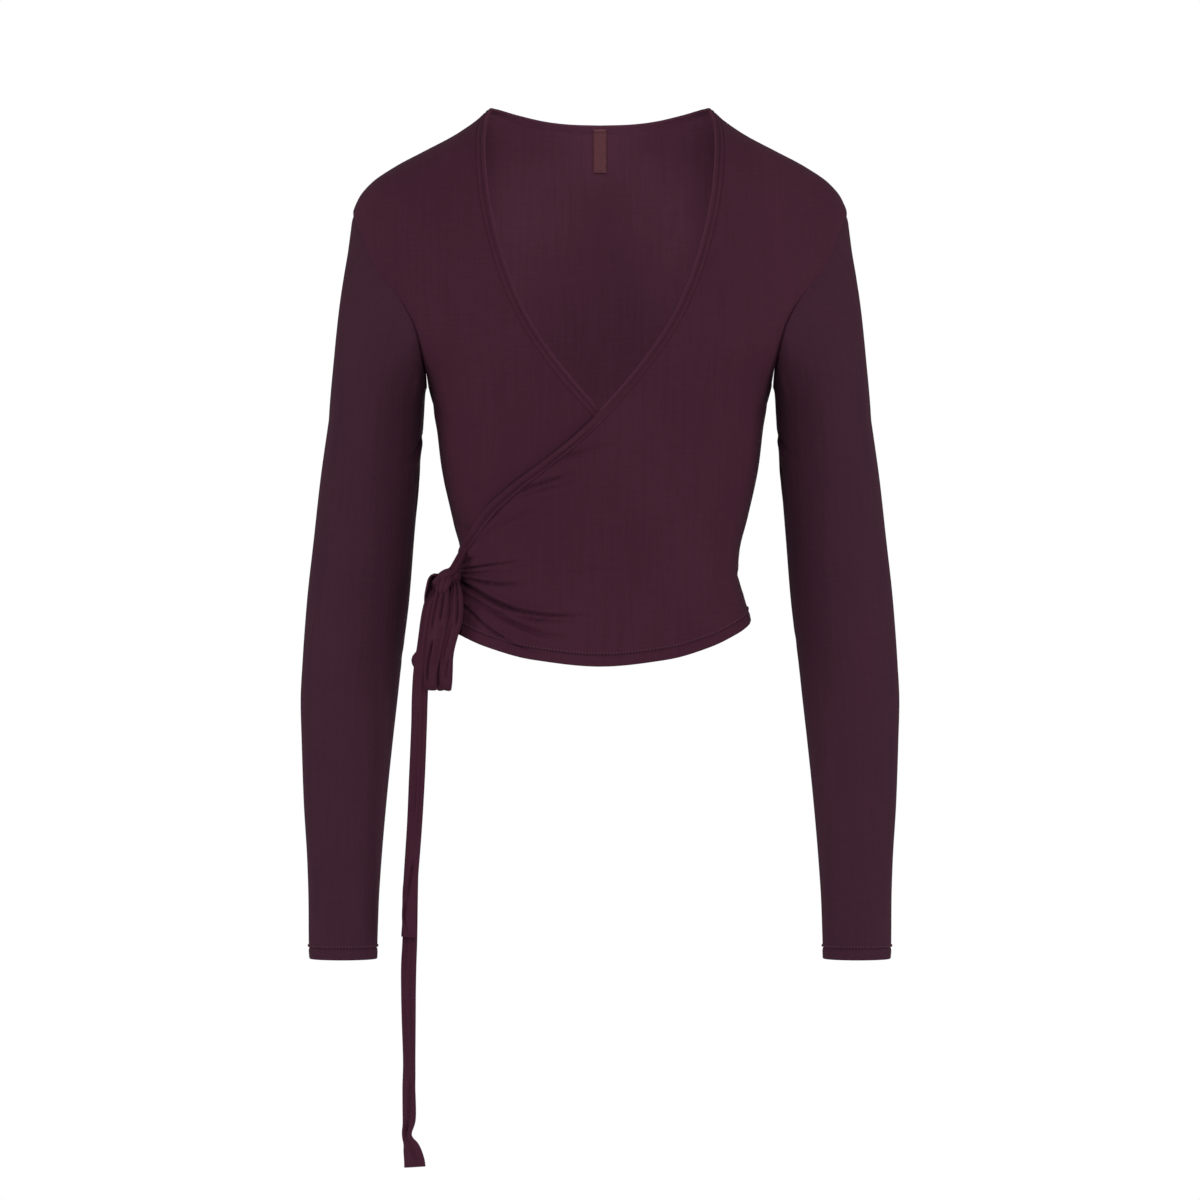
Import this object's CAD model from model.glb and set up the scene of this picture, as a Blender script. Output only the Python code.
"""The looks of the wrap top: thin cloth shells on the forms of its solids, with their
creases, hems, stitches, bow, label, finishes, light, floor and camera.

Units in the tables are millimetres and degrees; the meshes are written in metres.
+X is the wearer's left, -Y the front, +Z up. A place on the body's form is (turn, z):
turn is the angle round it, 0 at the centre front, 90 at the wearer's left, 180 behind.
"""

import math

import bpy
import numpy as np
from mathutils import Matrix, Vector
from mathutils.geometry import delaunay_2d_cdt


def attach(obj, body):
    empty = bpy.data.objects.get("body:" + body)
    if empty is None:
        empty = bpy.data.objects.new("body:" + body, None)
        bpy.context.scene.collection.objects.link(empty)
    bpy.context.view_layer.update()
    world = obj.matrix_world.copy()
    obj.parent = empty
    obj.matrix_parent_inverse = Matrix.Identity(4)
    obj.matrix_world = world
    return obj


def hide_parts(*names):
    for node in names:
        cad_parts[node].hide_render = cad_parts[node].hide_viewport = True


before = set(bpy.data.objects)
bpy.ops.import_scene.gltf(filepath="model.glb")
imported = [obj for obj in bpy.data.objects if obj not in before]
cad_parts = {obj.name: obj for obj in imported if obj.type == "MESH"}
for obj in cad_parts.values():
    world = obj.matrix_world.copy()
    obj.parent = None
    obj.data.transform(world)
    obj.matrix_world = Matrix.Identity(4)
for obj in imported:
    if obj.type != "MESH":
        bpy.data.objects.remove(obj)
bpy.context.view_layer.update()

MM = 0.001

# Cloth
CLOTH = 0.9  # one layer of jersey
HEM_CLOTH = 1.8  # where the edge is turned up and lies double
HEM_DEPTH = 11.4
HEM_ROLL = 0.9  # the turned edge is round over this depth
HEM_BLUNT = 0.94  # and stops this close to a full round
HEM_FADE = (-0.4, 0.8)  # the double cloth thins out from here to here, up from HEM_DEPTH
HEM_LEVELS = (0.35, HEM_ROLL, 8.5, 9.1, 9.7, 10.7, HEM_DEPTH)  # where its thickness changes
SEAM_GAP = 0.12
SEAM_DIP = 0.7  # how far the cloth sinks towards a seam
SEAM_REACH = 2.6
BINDING_WIDTH = 8.4
BINDING_SPREAD = 0.5  # and this share wider where the knot pulls it flat
SPREAD_TURNS = (-365.0, -425.0)  # it widens between these turns
BINDING_CURL = 4.4  # the edge curls in up to this far where it lies on the under front
CURL_CLEARANCE = 1.4  # but stays this far from the middle of the under front's cloth
CURL_REACH = 1.3
NECK_ROUNDING = 7  # how often the two points of the neck are smoothed

# How finely the cloth is cut up
FRONT_STEP = 3.3
BACK_STEP = 4.0
GATHER_STEP = 1.15
DRAWN_STEP = 1.7
SLEEVE_SIDES = 96
BINDING_STEP = 2.5
SEAM_STEP = 3.0
STRIP_STEP = 1.6
GATHER_TURN = -3.0  # the over front is cut finest from here to the knot
GATHER_TOP = -352.0  # and below this height
DRAWN_TURN = 7.0  # and finer from here to the bound edge, below the other height
DRAWN_TOP = -266.0
TURN_SCALE = 1.9  # millimetres of cloth in a degree of turn, for spacing the points
ROW_FALL = 0.87  # staggered rows of points lie this share of a step apart
AT_ONCE = 2000  # how many points are compared with an outline at a time

# The form: half its width, and its depth to the front and back of the side seams
FORM_COLUMNS = ("z", "half_width", "front", "back")
FORM = (
    (2.0, 80, 34, 44), (0.0, 87.6, 38, 47), (-2.5, 93, 41, 50), (-9.0, 100.2, 46, 57),
    (-22, 119, 56, 67), (-35, 143.5, 64, 75), (-48, 168, 71, 81), (-61.5, 187.5, 77, 86),
    (-74.5, 198, 82, 90), (-88, 202.5, 86, 93), (-110, 202, 91.5, 95.5), (-135, 199, 97, 97),
    (-160, 191, 102, 97), (-190, 171, 107.5, 95.5), (-228, 141, 111.5, 92), (-255, 134.5, 110, 89),
    (-294, 129.6, 104, 83.5), (-334, 121, 95.5, 77), (-363, 114, 91, 73.5),
    (-380, 112.8, 90, 73.5), (-400, 117.8, 91, 76), (-419, 123, 93, 81), (-440, 125, 95, 84),
    (-470, 126, 96, 86),
)
FORM_FULLNESS = 0.18  # how much squarer than an ellipse a level section is

# The front edge of the over front as seen from the front, from the shoulder to the knot:
# x and z
WRAP_EDGE = (
    (88, 0.2), (91.6, -9.0), (92.8, -20), (92.9, -37.8), (89.9, -72.8), (83.5, -104.9),
    (72.8, -140.4), (57, -175.8), (33.3, -211), (3.8, -245.6), (-18.2, -267), (-42.9, -287.2),
    (-67.4, -305.1), (-87, -321.9), (-97.7, -335.5), (-108, -357), (-110, -372),
)
OVER_END_TURN = -77.0  # the over front ends here, where the knot gathers it
# The under front has the same edge mirrored, but runs on into the far side seam
UNDER_EDGE_END = ((-97.0, -338.0), (-108.5, -357.0), (-112.5, -376.0))
END_TURN_STEP = 6.0  # both bound edges are drawn this far past their ends, then cut there

# The back neck edge, from the shoulder to the centre: x and z
BACK_NECK = (
    (88, 0.2), (80.5, -0.1), (66.5, -2.7), (45.5, -6.6), (25, -8.6), (0.0, -9.2),
)

# The armhole seam from the shoulder tip to the armpit, the same in front and at the back:
# x and z
ARMHOLE = (
    (202.5, -88), (198.5, -96), (184.5, -130), (165, -155), (151, -180), (144.5, -206),
    (141, -228),
)
ARMPIT_CLEARANCE = 2.0  # the sleeve starts this far outside the panels at the armpit

# The hem all round, by turn and z, the same on both sides of the centre
HEM = (
    (-25, -451), (0.0, -456.3), (25, -451), (45, -441), (62, -431), (78, -423.5), (90, -419.5),
    (102, -421), (130, -427), (180, -434), (230, -427),
)

# The two fronts part where they lie on each other
OVER_LIFT = 6.0
UNDER_SINK = 3.4
LAP_TURN = 55.0  # the under front starts to sink at -LAP_TURN, the over front to lift at LAP_TURN
LAP_SPAN = 130.0  # and each is all the way out this many degrees on
PULL_PLACE = (-66.0, -387.0)  # the knot draws the over front out here, by turn and z
PULL_HEIGHT = 4.0
PULL_REACH = 26.0

# A crease is a row of points, each a place on the cloth, how deep it is there and how
# wide. These are seen from the front, so their places are x and z.
# Creases drawn by the knot across the over front
KNOT_CREASES = (
    ((-121, -382, 2.4, 1.6), (-116.5, -380, 4.0, 1.8), (-112.3, -378.3, 4.8, 1.9),
     (-107.7, -374.8, 4.4, 1.9), (-102.9, -371.8, 2.8, 1.8), (-96, -367, 1.0, 1.8),
     (-90, -361, 0, 1.8)),
    ((-114.5, -379.4, 0.6, 1.3), (-107, -378, 2.0, 1.3), (-98, -376.4, 2.6, 1.3),
     (-82.9, -373.9, 2.4, 1.3), (-67.8, -372.5, 1.5, 1.4), (-60, -371.5, 0.6, 1.5),
     (-48, -370.6, 0, 1.6)),
    ((-88, -378, 0, 1.3), (-79.6, -376.7, 1.0, 1.3), (-64.4, -375.4, 1.0, 1.3),
     (-53, -373.8, 0.5, 1.4), (-42, -372, 0, 1.5)),
    ((-116, -384, 0.8, 1.5), (-108.8, -386.4, 2.2, 1.5), (-94.4, -388.8, 2.6, 1.5),
     (-80.5, -390.5, 2.5, 1.5), (-69.2, -390.5, 1.6, 1.5), (-58, -389.3, 0.6, 1.6),
     (-46, -388, 0, 1.7)),
    ((-117, -385, 1.6, 1.8), (-112.3, -387.6, 3.6, 1.9), (-104.5, -391.4, 4.6, 2.1),
     (-94.4, -397.8, 4.8, 2.2), (-80.5, -405.8, 4.6, 2.0), (-66, -411.4, 4.2, 1.8),
     (-51.2, -414.3, 3.6, 1.7), (-38, -415.6, 2.8, 1.6), (-25.3, -415.9, 1.9, 1.6),
     (-6, -415.2, 0, 1.7)),
    ((-84, -412.5, 0, 1.5), (-67.4, -415.6, 1.6, 1.5), (-52, -418.8, 2.4, 1.5),
     (-38, -420, 1.8, 1.5), (-24, -420.6, 0.8, 1.5), (-8, -420.6, 0, 1.6)),
    ((-109, -394, 0, 2.0), (-98, -403, 2.0, 2.0), (-80.5, -414.5, 3.0, 2.0),
     (-66, -422.6, 3.2, 2.0), (-51, -429, 2.6, 2.1), (-38, -432.4, 1.6, 2.2), (-18, -435, 0, 2.4)),
    ((-114.2, -399.6, 1.4, 1.2), (-107.2, -406.6, 2.2, 1.2), (-97.8, -415.9, 2.3, 1.2),
     (-86, -426.5, 2.2, 1.2), (-69.2, -437.5, 1.8, 1.2), (-54, -443.4, 1.2, 1.4),
     (-38, -446.6, 0, 1.4)),
    ((-108, -382.5, 0, 2), (-96, -381.4, 1.3, 2.0), (-82, -380.6, 1.4, 2.2), (-62, -380, 0, 2.4)),
    ((-116, -390, 0, 1.4), (-113.6, -396, 2.2, 1.6), (-112.6, -404, 2.6, 1.7),
     (-113.2, -414, 2.0, 1.8), (-115, -426, 1.0, 2.0), (-116, -436, 0, 2.0)),
    ((-74, -321.4, 1.0, 1.7), (-64.4, -316.4, 2.6, 1.8), (-50.7, -310.6, 3.0, 1.9),
     (-36.8, -306, 2.4, 1.9), (-26.5, -303.6, 1.2, 2), (-10, -301.6, 0, 2.2)),
    ((-74, -324.6, 0.6, 1.4), (-64.4, -320.4, 1.8, 1.5), (-48.3, -314.6, 2.2, 1.6),
     (-29.8, -310.2, 1.4, 1.7), (-12, -306.4, 0, 1.8)),
    ((-50, -300.5, 0.4, 2.2), (-34.6, -292.3, 2.2, 2.4), (-20.9, -286.5, 2.6, 2.5),
     (-9.2, -283, 1.7, 2.6), (12, -279, 0, 2.8)),
    ((-68, -320, 0, 1.4), (-78.1, -329.8, 1.8, 1.4), (-85.3, -336.6, 2.2, 1.5),
     (-92, -343.6, 2.4, 1.5), (-100.5, -352.2, 2.4, 1.5), (-107.7, -361, 1.7, 1.4),
     (-112.5, -368, 0, 1.4)),
    ((-88, -352, 0, 2.4), (-78, -344, 0.8, 2.5), (-62, -336, 1.0, 2.8), (-44, -331, 0, 3)),
    ((-60, -384, 0, 3.5), (-34, -384, 0.8, 3.8), (0, -381, 0.7, 4.2), (30, -377, 0, 5)),
)
# The hidden edge of the under front shows through as a low soft ridge
UNDER_EDGE_SHOWS = (
    ((14, -258, 0, 3.4), (29, -272, -0.5, 3.4), (47, -288, -0.6, 3.6), (66, -302, -0.45, 3.8),
     (86, -322, 0, 4)),
)
# Where the over front meets its sleeve the cloth draws into the armpit
ARMPIT_CREASES = (
    ((134, -244, 0, 2.2), (138.5, -229, 1.5, 2.4), (143.5, -206, 1.5, 2.6), (152, -180, 1.3, 2.6),
     (160, -160, 0.8, 2.8), (172, -132, 0, 3)),
    ((120, -262, 0, 2.6), (129, -250, 0.9, 2.6), (137, -236, 1.0, 2.4), (141, -226, 0, 2.2)),
)
# Creases of the under front where it shows
UNDER_CREASES = (
    ((-116, -334, 0, 2.8), (-112.5, -341, 1.6, 2.8), (-108, -346, 1.8, 2.8), (-100, -350, 0.8, 3),
     (-92, -351, 0, 3)),
    ((-134, -244, 0, 2.2), (-138.5, -229, 1.1, 2.4), (-143.5, -206, 1.0, 2.6),
     (-152, -180, 0.7, 2.6), (-161, -156, 0, 2.8)),
    ((-116, -268, 0, 3), (-127, -254, 0.9, 2.8), (-136, -240, 0.8, 2.6), (-141, -227, 0, 2.4)),
    ((-92, -318, 0, 3), (-104, -313, 0.8, 3), (-116, -306, 0.6, 3), (-124, -299, 0, 3)),
)
# Creases on the sides and back, by turn and z
HIDDEN_CREASES = (
    ((272, -392, 0, 2.4), (262, -391, 1.4, 2.4), (246, -388, 1.5, 2.6), (228, -384, 0.9, 3),
     (206, -382, 0, 3)),
    ((273, -400, 0, 2.4), (262, -401, 1.8, 2.4), (246, -404, 1.7, 2.8), (226, -405.5, 0.9, 3),
     (208, -405, 0, 3.2)),
    ((270, -380, 0, 2.4), (260, -377, 1.0, 2.4), (244, -370, 1.1, 2.8), (229, -365, 0, 3)),
    ((271, -407, 0, 2), (262, -411, 1.0, 2.2), (249, -416.5, 0.8, 2.4), (236, -420, 0, 2.6)),
    ((138, -366, 0, 3.4), (152, -370, 0.9, 3.4), (168, -371.5, 1.0, 3.6), (186, -370, 0.5, 3.8),
     (200, -367, 0, 4)),
    ((154, -385, 0, 3.4), (168, -388, 0.8, 3.6), (184, -388.6, 0.9, 3.8), (201, -386, 0, 4)),
    ((99, -383, 0, 2.6), (108, -386, 1.0, 2.8), (122, -388, 0.9, 3.2), (138, -387, 0, 3.4)),
    ((80, -384, 0, 2.6), (90, -381, 0.8, 2.6), (102, -376, 0.9, 2.8), (116, -372, 0, 3)),
    ((112, -236, 0, 3), (104, -240, 1.1, 2.8), (98, -243, 1.2, 2.6), (91, -244, 0, 2.6)),
    ((128, -222, 0, 4), (116, -230, 0.8, 3.4), (106, -233, 0.9, 3), (99, -232, 0, 2.6)),
    ((246, -234, 0, 3), (254, -240, 1.2, 2.8), (262, -243, 1.1, 2.6), (269, -243, 0, 2.6)),
    ((234, -214, 0, 4), (245, -224, 0.9, 3.4), (255, -230, 0.8, 3), (262, -230, 0, 2.6)),
    ((166, -60, 0, 7), (168, -100, 0.7, 7), (167, -145, 0.8, 8), (163, -190, 0, 8)),
    ((197, -80, 0, 7), (195, -125, 0.8, 7), (197, -170, 0.6, 8), (201, -205, 0, 8)),
    ((150, -262, 0, 5), (166, -272, 0.6, 5), (186, -275, 0.7, 5.5), (206, -268, 0, 5.5)),
)

# Sleeve: level sections from below the armpit to the cuff
SLEEVE_COLUMNS = ("z", "outer", "inner", "middle_y", "half_depth")
SLEEVE = (
    (-255, 222, 145, 2.0, 52), (-304, 229, 149, 4.0, 49), (-353, 234.5, 153, 5.0, 46),
    (-403, 240, 157, 4.5, 43.5), (-452, 243.5, 163, 2.0, 41.5), (-485, 245, 166.5, -1.0, 40),
    (-517, 244, 170, -5.0, 38), (-567, 242, 175, -11, 34.5), (-616, 238.8, 179, -17, 31.5),
    (-649, 237.6, 181, -21, 30), (-682, 237.2, 182, -25, 29), (-695, 236.2, 182.5, -26.5, 28.5),
)
CAP_RINGS = 60  # from the armhole seam down to the level sections
CAP_EXTRA = (0.006, 0.012)  # and two more close to the seam, by shares of the cap
CUFF_LEVELS = (0.0, 3.4, 6.0, HEM_DEPTH + 0.8)  # more rings at the cuff, up from its edge
SLEEVE_RING_STEP = 3.4
CAP_FALL = (0.6, 0.0, -0.8)  # roughly the way the sleeve leaves the armhole
CAP_FOLLOW = 0.7  # how far the sleeve cap carries the panels' slant on past the seam
CAP_BLEND = 90.0  # from here down to the armpit it does so less and less
CAP_FULLNESS = 3.5  # and swells this far over the upper arm
UNDERARM_SEAM = 0.5  # how deep the seam lies that runs down inside the sleeve
UNDERARM_REACH = 1.3  # degrees to both sides of it
SLEEVE_TURN_SCALE = 0.72  # millimetres of cloth in a degree round the sleeve
CREASES_FROM = 20.0  # its soft folds start this far above the level sections
CREASES_FULL = -10.0  # and have their whole depth from here down

# Soft folds of each sleeve: degrees round it from the outer side over the front, and z
SLEEVE_CREASES_LEFT = (
    ((182, -262, 0, 2.8), (166, -272, 1.9, 2.8), (150, -280, 1.7, 3.2), (132, -285, 0.8, 3.6),
     (112, -288, 0, 4)),
    ((184, -274, 0, 3), (176, -290, 1.4, 3.2), (166, -308, 1.2, 3.6), (156, -330, 0, 4)),
    ((176, -262, 0, 2.8), (194, -272, 1.8, 2.8), (214, -282, 1.6, 3.2), (238, -288, 0.8, 3.6),
     (258, -290, 0, 4)),
    ((204, -296, 0, 3.6), (216, -306, 1.0, 3.8), (232, -314, 0.9, 4), (250, -318, 0, 4)),
    ((150, -428, 0, 4), (168, -433, 0.3, 4), (186, -435, 0.3, 4), (206, -434, 0.9, 4.4),
     (230, -430, 0, 5)),
    ((184, -456, 0, 4), (202, -457, 0.8, 4), (222, -455, 0.9, 4.2), (246, -450, 0, 4.6)),
    ((214, -470, 0, 4.6), (236, -475, 0.8, 5), (262, -474, 0.8, 5), (286, -468, 0, 5.6)),
    ((300, -420, 0, 8), (312, -450, 0.7, 8), (318, -486, 0.8, 8), (314, -520, 0, 9)),
    ((188, -606, 0, 4), (206, -610, 0.7, 4), (226, -612, 0.7, 4), (250, -609, 0, 4.4)),
    ((196, -640, 0, 4), (218, -646, 0.8, 4), (244, -648, 0.6, 4.4), (264, -646, 0, 5)),
    ((262, -350, 0, 6), (270, -390, 0.6, 6.5), (276, -430, 0, 7)),
)
SLEEVE_CREASES_RIGHT = (
    ((182, -262, 0, 2.8), (168, -273, 1.7, 2.8), (154, -283, 1.6, 3.2), (138, -290, 0.7, 3.6),
     (118, -293, 0, 4)),
    ((186, -276, 0, 3), (180, -294, 1.2, 3.2), (172, -316, 1.1, 3.6), (164, -340, 0, 4)),
    ((176, -262, 0, 2.8), (192, -273, 1.9, 2.8), (210, -284, 1.7, 3.2), (230, -293, 0.9, 3.6),
     (250, -297, 0, 4)),
    ((208, -306, 0, 3.6), (222, -318, 0.9, 3.8), (240, -326, 0.8, 4), (256, -330, 0, 4)),
    ((150, -442, 0, 4), (168, -447, 0.3, 4), (188, -448, 0.3, 4), (210, -446, 0.9, 4.4),
     (234, -440, 0, 5)),
    ((186, -468, 0, 4), (204, -471, 0.7, 4), (226, -470, 0.8, 4.2), (250, -465, 0, 4.6)),
    ((220, -484, 0, 4.6), (240, -490, 0.9, 5), (264, -490, 0.7, 5), (284, -484, 0, 5.6)),
    ((296, -400, 0, 8), (306, -432, 0.8, 8), (312, -470, 0.7, 8), (308, -506, 0, 9)),
    ((188, -620, 0, 4), (206, -625, 0.7, 4), (228, -626, 0.7, 4), (252, -622, 0, 4.4)),
    ((200, -650, 0, 4), (222, -655, 0.7, 4), (246, -656, 0.6, 4.4), (262, -653, 0, 5)),
    ((256, -362, 0, 6), (264, -402, 0.7, 6.5), (270, -446, 0, 7)),
)
RIDGES = (0.45, 0.2)  # how far a crease's two banks stand up, as a share of its depth
RIDGE_PLACE, RIDGE_WIDTH = 2.2, 1.2  # where they stand beside it, in widths of the crease
FAR_SIDE = -60.0  # turns below this are on the far side, where they're counted on past 180
CREASE_STEP = 0.8
CREASE_REACH = 5  # widths of a crease past which the cloth doesn't notice it

# The bound edge's section: in from its free edge, and out from the middle of the cloth
# round the neck and where it lies on the under front. A rounded fold, the ditch that the
# stitches lie in, and the flat part that is sewn down
BINDING_COLUMNS = ("in", "neck", "lap")
BINDING_OUTSIDE = (
    (0.0, -0.2, -0.2), (0.1, 0.35, 0.35), (0.5, 0.95, 0.95), (1.1, 1.35, 1.35), (2.0, 1.45, 1.55),
    (3.0, 1.05, 1.55), (3.7, 0.5, 1.5), (4.4, 0.9, 1.3), (5.1, 1.15, 0.75), (5.8, 1.1, -0.1),
    (6.4, 0.95, 0.5), (7.1, 0.45, 1.0), (7.8, 0.1, 0.75), (8.4, 0.25, 0.15),
)
BINDING_INSIDE = ((8.4, -0.45), (6.5, -0.5), (4.0, -0.55), (2.0, -0.7), (1.0, -0.8), (0.3, -0.65))
BINDING_FOLD = 3  # this many strips of faces along its free edge have the fold's finish
BINDING_LAP = (-352.0, -372.0)  # the one section gives way to the other between these turns
FOLD_GIVES_WAY = (0.35, 0.55)  # and the fold's finish to the pressed one, by shares of that
BINDING_STITCH_ROWS = (3.7, 5.8, 7.8)
DITCH_LEVEL = 0.6  # a row has stitches that show where the section is lower than this
# The hem's two rows: how far up from the edge, how deep and wide the groove is, and
# whether the stitches lie across it
HEM_STITCH_ROWS = ((9.1, 1.05, 0.6, False), (10.6, -0.15, 0.7, True))
HEM_STITCH_ENDS = 1.0  # a hem's rows stop this many degrees short of its seams
STITCH_SPACING = 2.5
STITCH_ALONG = (1.0, 0.22, 0.2)  # half its length, width and height
STITCH_ACROSS = (0.5, 1.0, 0.4)

LABEL_WIDTH = 10.7
LABEL_TOP = -11.0
LABEL_BOTTOM = -46.2
LABEL_WALL = 0.7
LABEL_RINGS, LABEL_SIDES = 72, 17
LABEL_CLEARANCE = 1.3  # from the middle of the back's cloth
LABEL_LIFT = (0.55, 0.9)  # one lower corner lifts from this share of its length on, by this
LABEL_FOLD = (2.0, 0.8, 0.3)  # folded under this far down, thinning over this, this thick
LABEL_ENDS = (0.45, 0.6)  # how much of its thickness the top and bottom edges keep
LABEL_SQUARENESS = 8

# Each strip of the bow: the middle of its cloth (x, y and z), the width that shows, the
# way it faces from straight ahead, and how much it curls lengthwise
LOOP_RIGHT = (
    (-118, -60.5, -388.5, 7.0, -20, 1.2), (-116.2, -65.5, -394.5, 9.0, -20, 2.0),
    (-116, -69, -405, 12, -20, 2.6), (-117.2, -70, -419, 13.2, -22, 2.6),
    (-120.4, -69.2, -432, 12, -25, 2.4), (-123.6, -68, -445, 12.2, -25, 2.4),
    (-124.7, -67, -459, 12.8, -25, 2.4), (-125, -65, -468, 12.2, -25, 2.0),
    (-125.8, -61.5, -473.8, 11.4, -25, 1.0), (-127, -58, -471, 11.6, -25, 0.8),
    (-126.6, -56.8, -455, 11, -25, 1.0), (-122.6, -57.4, -430, 10.6, -25, 1.0),
    (-119.5, -57.4, -405, 9.0, -25, 0.8), (-118.5, -55.5, -393, 7.0, -25, 0.6),
)
LOOP_LEFT = (
    (-127.6, -60.5, -388.5, 8.0, -14, 1.2), (-127.2, -65.6, -395, 11.5, -14, 2.2),
    (-128.6, -68.6, -409, 15.2, -16, 3.0), (-131.6, -68.4, -428, 15.8, -20, 3.0),
    (-134.8, -66.8, -446, 14.2, -24, 2.8), (-136.8, -65, -460, 12.2, -26, 2.4),
    (-137.2, -63, -469, 11.4, -26, 2.0), (-136.4, -59.6, -474, 11.4, -26, 1.0),
    (-134.8, -56, -470.4, 12.4, -26, 0.8), (-132.8, -54.6, -452, 12, -26, 1.0),
    (-130.6, -54.8, -428, 11.4, -26, 1.0), (-128.6, -54.4, -405, 9.6, -26, 0.8),
    (-127, -52.6, -394, 7.0, -26, 0.6),
)
TAIL_SHORT = (
    (-128.5, -49, -388, 7.0, -25, 1.0), (-132.8, -51, -396, 10.4, -25, 1.4),
    (-136.9, -51, -405, 12.4, -25, 1.8), (-139.6, -50, -418, 13.2, -25, 2.0),
    (-142.2, -48.6, -438, 13.4, -25, 1.8), (-145.2, -47, -460, 14.2, -25, 1.6),
    (-146.4, -46, -482, 14.6, -25, 1.6), (-147, -45.6, -505, 14.4, -25, 1.5),
    (-148.6, -45.6, -545, 14.4, -24, 1.6), (-150.6, -45.6, -585, 13.8, -25, 1.5),
    (-153.4, -45.6, -625, 13.6, -28, 1.6), (-154.6, -45.6, -645, 14.2, -36, 2.0),
    (-154.8, -46, -660, 14.6, -44, 2.4), (-155, -46.6, -670, 15.8, -40, 2.0),
    (-155.3, -46.6, -676.5, 14.6, -30, 1.2),
)
TAIL_LONG = (
    (-132.5, -43, -390.3, 7.0, -25, 0.8), (-136.5, -41.5, -404, 9.5, -25, 1.0),
    (-141.5, -39.5, -430, 11.5, -25, 1.2), (-143.8, -39, -444, 11.5, -25, 1.2),
    (-147.4, -40, -451.5, 13.6, -25, 2.0), (-145.6, -39, -459, 11.4, -25, 1.2),
    (-145.4, -38.5, -472, 11.6, -25, 1.2), (-146.5, -38, -500, 12, -25, 1.4),
    (-150, -38, -560, 12, -25, 1.4), (-153, -38, -620, 12, -25, 1.4),
    (-154.6, -38.2, -676, 13.4, -25, 1.6), (-155.6, -38.5, -700, 14, -25, 1.7),
    (-155.8, -38.5, -722, 13.2, -22, 1.6), (-155.6, -38.5, -745, 12.2, -18, 1.5),
    (-155.2, -38.5, -778, 10.6, -14, 1.3), (-155.4, -38.5, -800, 11.6, -20, 1.4),
    (-155.2, -38.5, -824, 12.2, -26, 1.6), (-156.6, -38.5, -838, 9.4, -34, 2.0),
    (-153.4, -38.5, -848, 14.8, -20, 1.8), (-151.2, -38.5, -858, 17.4, -14, 1.2),
    (-150.6, -38.5, -864, 17.8, -10, 0.8),
)
TIE_CLOTH = 1.5
STRIP_SIDES = 25  # points across each face of a strip
STRIP_BELLY = 1.3  # how high a strip's middle stands for its curl
STRIP_SQUARENESS = 5
STRIP_ENDS = (0.9, 0.5)  # how much of its thickness a cut end keeps over its last two rings
CREASE_COMES, CREASE_GOES = 0.18, 0.3  # a crease deepens and fades over these shares
CREASE_BANK = (0.4, 2.1, 1.1)  # its banks: how high, how far out and how wide
# Lengthwise creases of the strips: where each starts along the strip and across it (-0.5
# to 0.5, from the wearer's right), where it ends, how deep it is and how wide
LOOP_RIGHT_CREASES = (
    (-6, -0.2, 24, -0.22, 1.8, 1.1), (-6, 0.1, 46, 0.24, 2.6, 1.1),
    (30, -0.06, 78, -0.12, 1.5, 1.4), (62, 0.24, 84, 0.1, 1.8, 1.2),
    (104, 0.1, 175, -0.05, 1.6, 1.6),
)
LOOP_LEFT_CREASES = (
    (-6, -0.14, 52, -0.26, 2.3, 1.4), (-6, 0.14, 40, 0.12, 2.3, 1.2),
    (30, 0.26, 80, 0.28, 1.5, 1.3), (46, -0.04, 90, -0.14, 2.4, 1.2),
    (102, 0.05, 172, -0.06, 1.6, 1.6),
)
TAIL_SHORT_CREASES = (
    (-4, -0.1, 70, -0.16, 1.1, 1.4), (64, 0.28, 236, 0.27, 1.0, 0.9),
    (92, 0.04, 226, 0.06, 0.8, 0.9), (150, -0.24, 250, -0.2, 0.6, 1.3),
    (225, 0.2, 292, -0.2, 2.1, 1.3), (246, -0.3, 294, 0.06, 1.5, 1.2),
)
TAIL_LONG_CREASES = (
    (240, 0.2, 420, 0.24, 0.9, 1.0), (240, -0.06, 330, -0.18, 1.0, 1.2),
    (330, -0.2, 420, 0.04, 0.9, 1.2), (400, 0.22, 462, -0.06, 1.7, 1.4),
    (438, 0.02, 480, 0.14, 1.3, 1.6),
)

# The knot: its packed middle and the strips wound over it
KNOT_MIDDLE = (-124.5, -53.5, -387.0)
KNOT_HALF = (13.5, 9.0, 8.8)
KNOT_TILT = 30.0
KNOT_FACING = -25.0
KNOT_GATHERS = (9, 0.05, 1.2)  # how many its middle has, how high and how twisted
KNOT_RINGS, KNOT_SIDES = 36, 56
KNOT_ENDS = 0.06  # how near its first and last rings are to the points, in radians
KNOT_FLAT = (0.01, 0.012)  # metres of cloth in a radian round it and along it
KNOT_WRAP = (
    (-123.8, -50, -387.2, 9.0, -14, 1.0), (-124.4, -56.5, -384.4, 11, -14, 1.8),
    (-125, -62.6, -385.4, 12, -14, 2.6), (-126, -66.8, -388.8, 12, -14, 2.8),
    (-127.6, -69, -392.4, 10.6, -14, 2.4), (-128.4, -67.2, -396, 8.8, -14, 1.8),
    (-128.6, -62.5, -397.4, 7.5, -14, 1.0), (-128, -56, -395.4, 6.5, -14, 0.8),
)
KNOT_WRAP_CREASES = (
    (4, -0.26, 36, -0.14, 1.5, 1.0), (2, 0.1, 34, 0.2, 1.6, 1.0), (12, -0.04, 32, 0.04, 0.9, 0.9),
)
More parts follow.
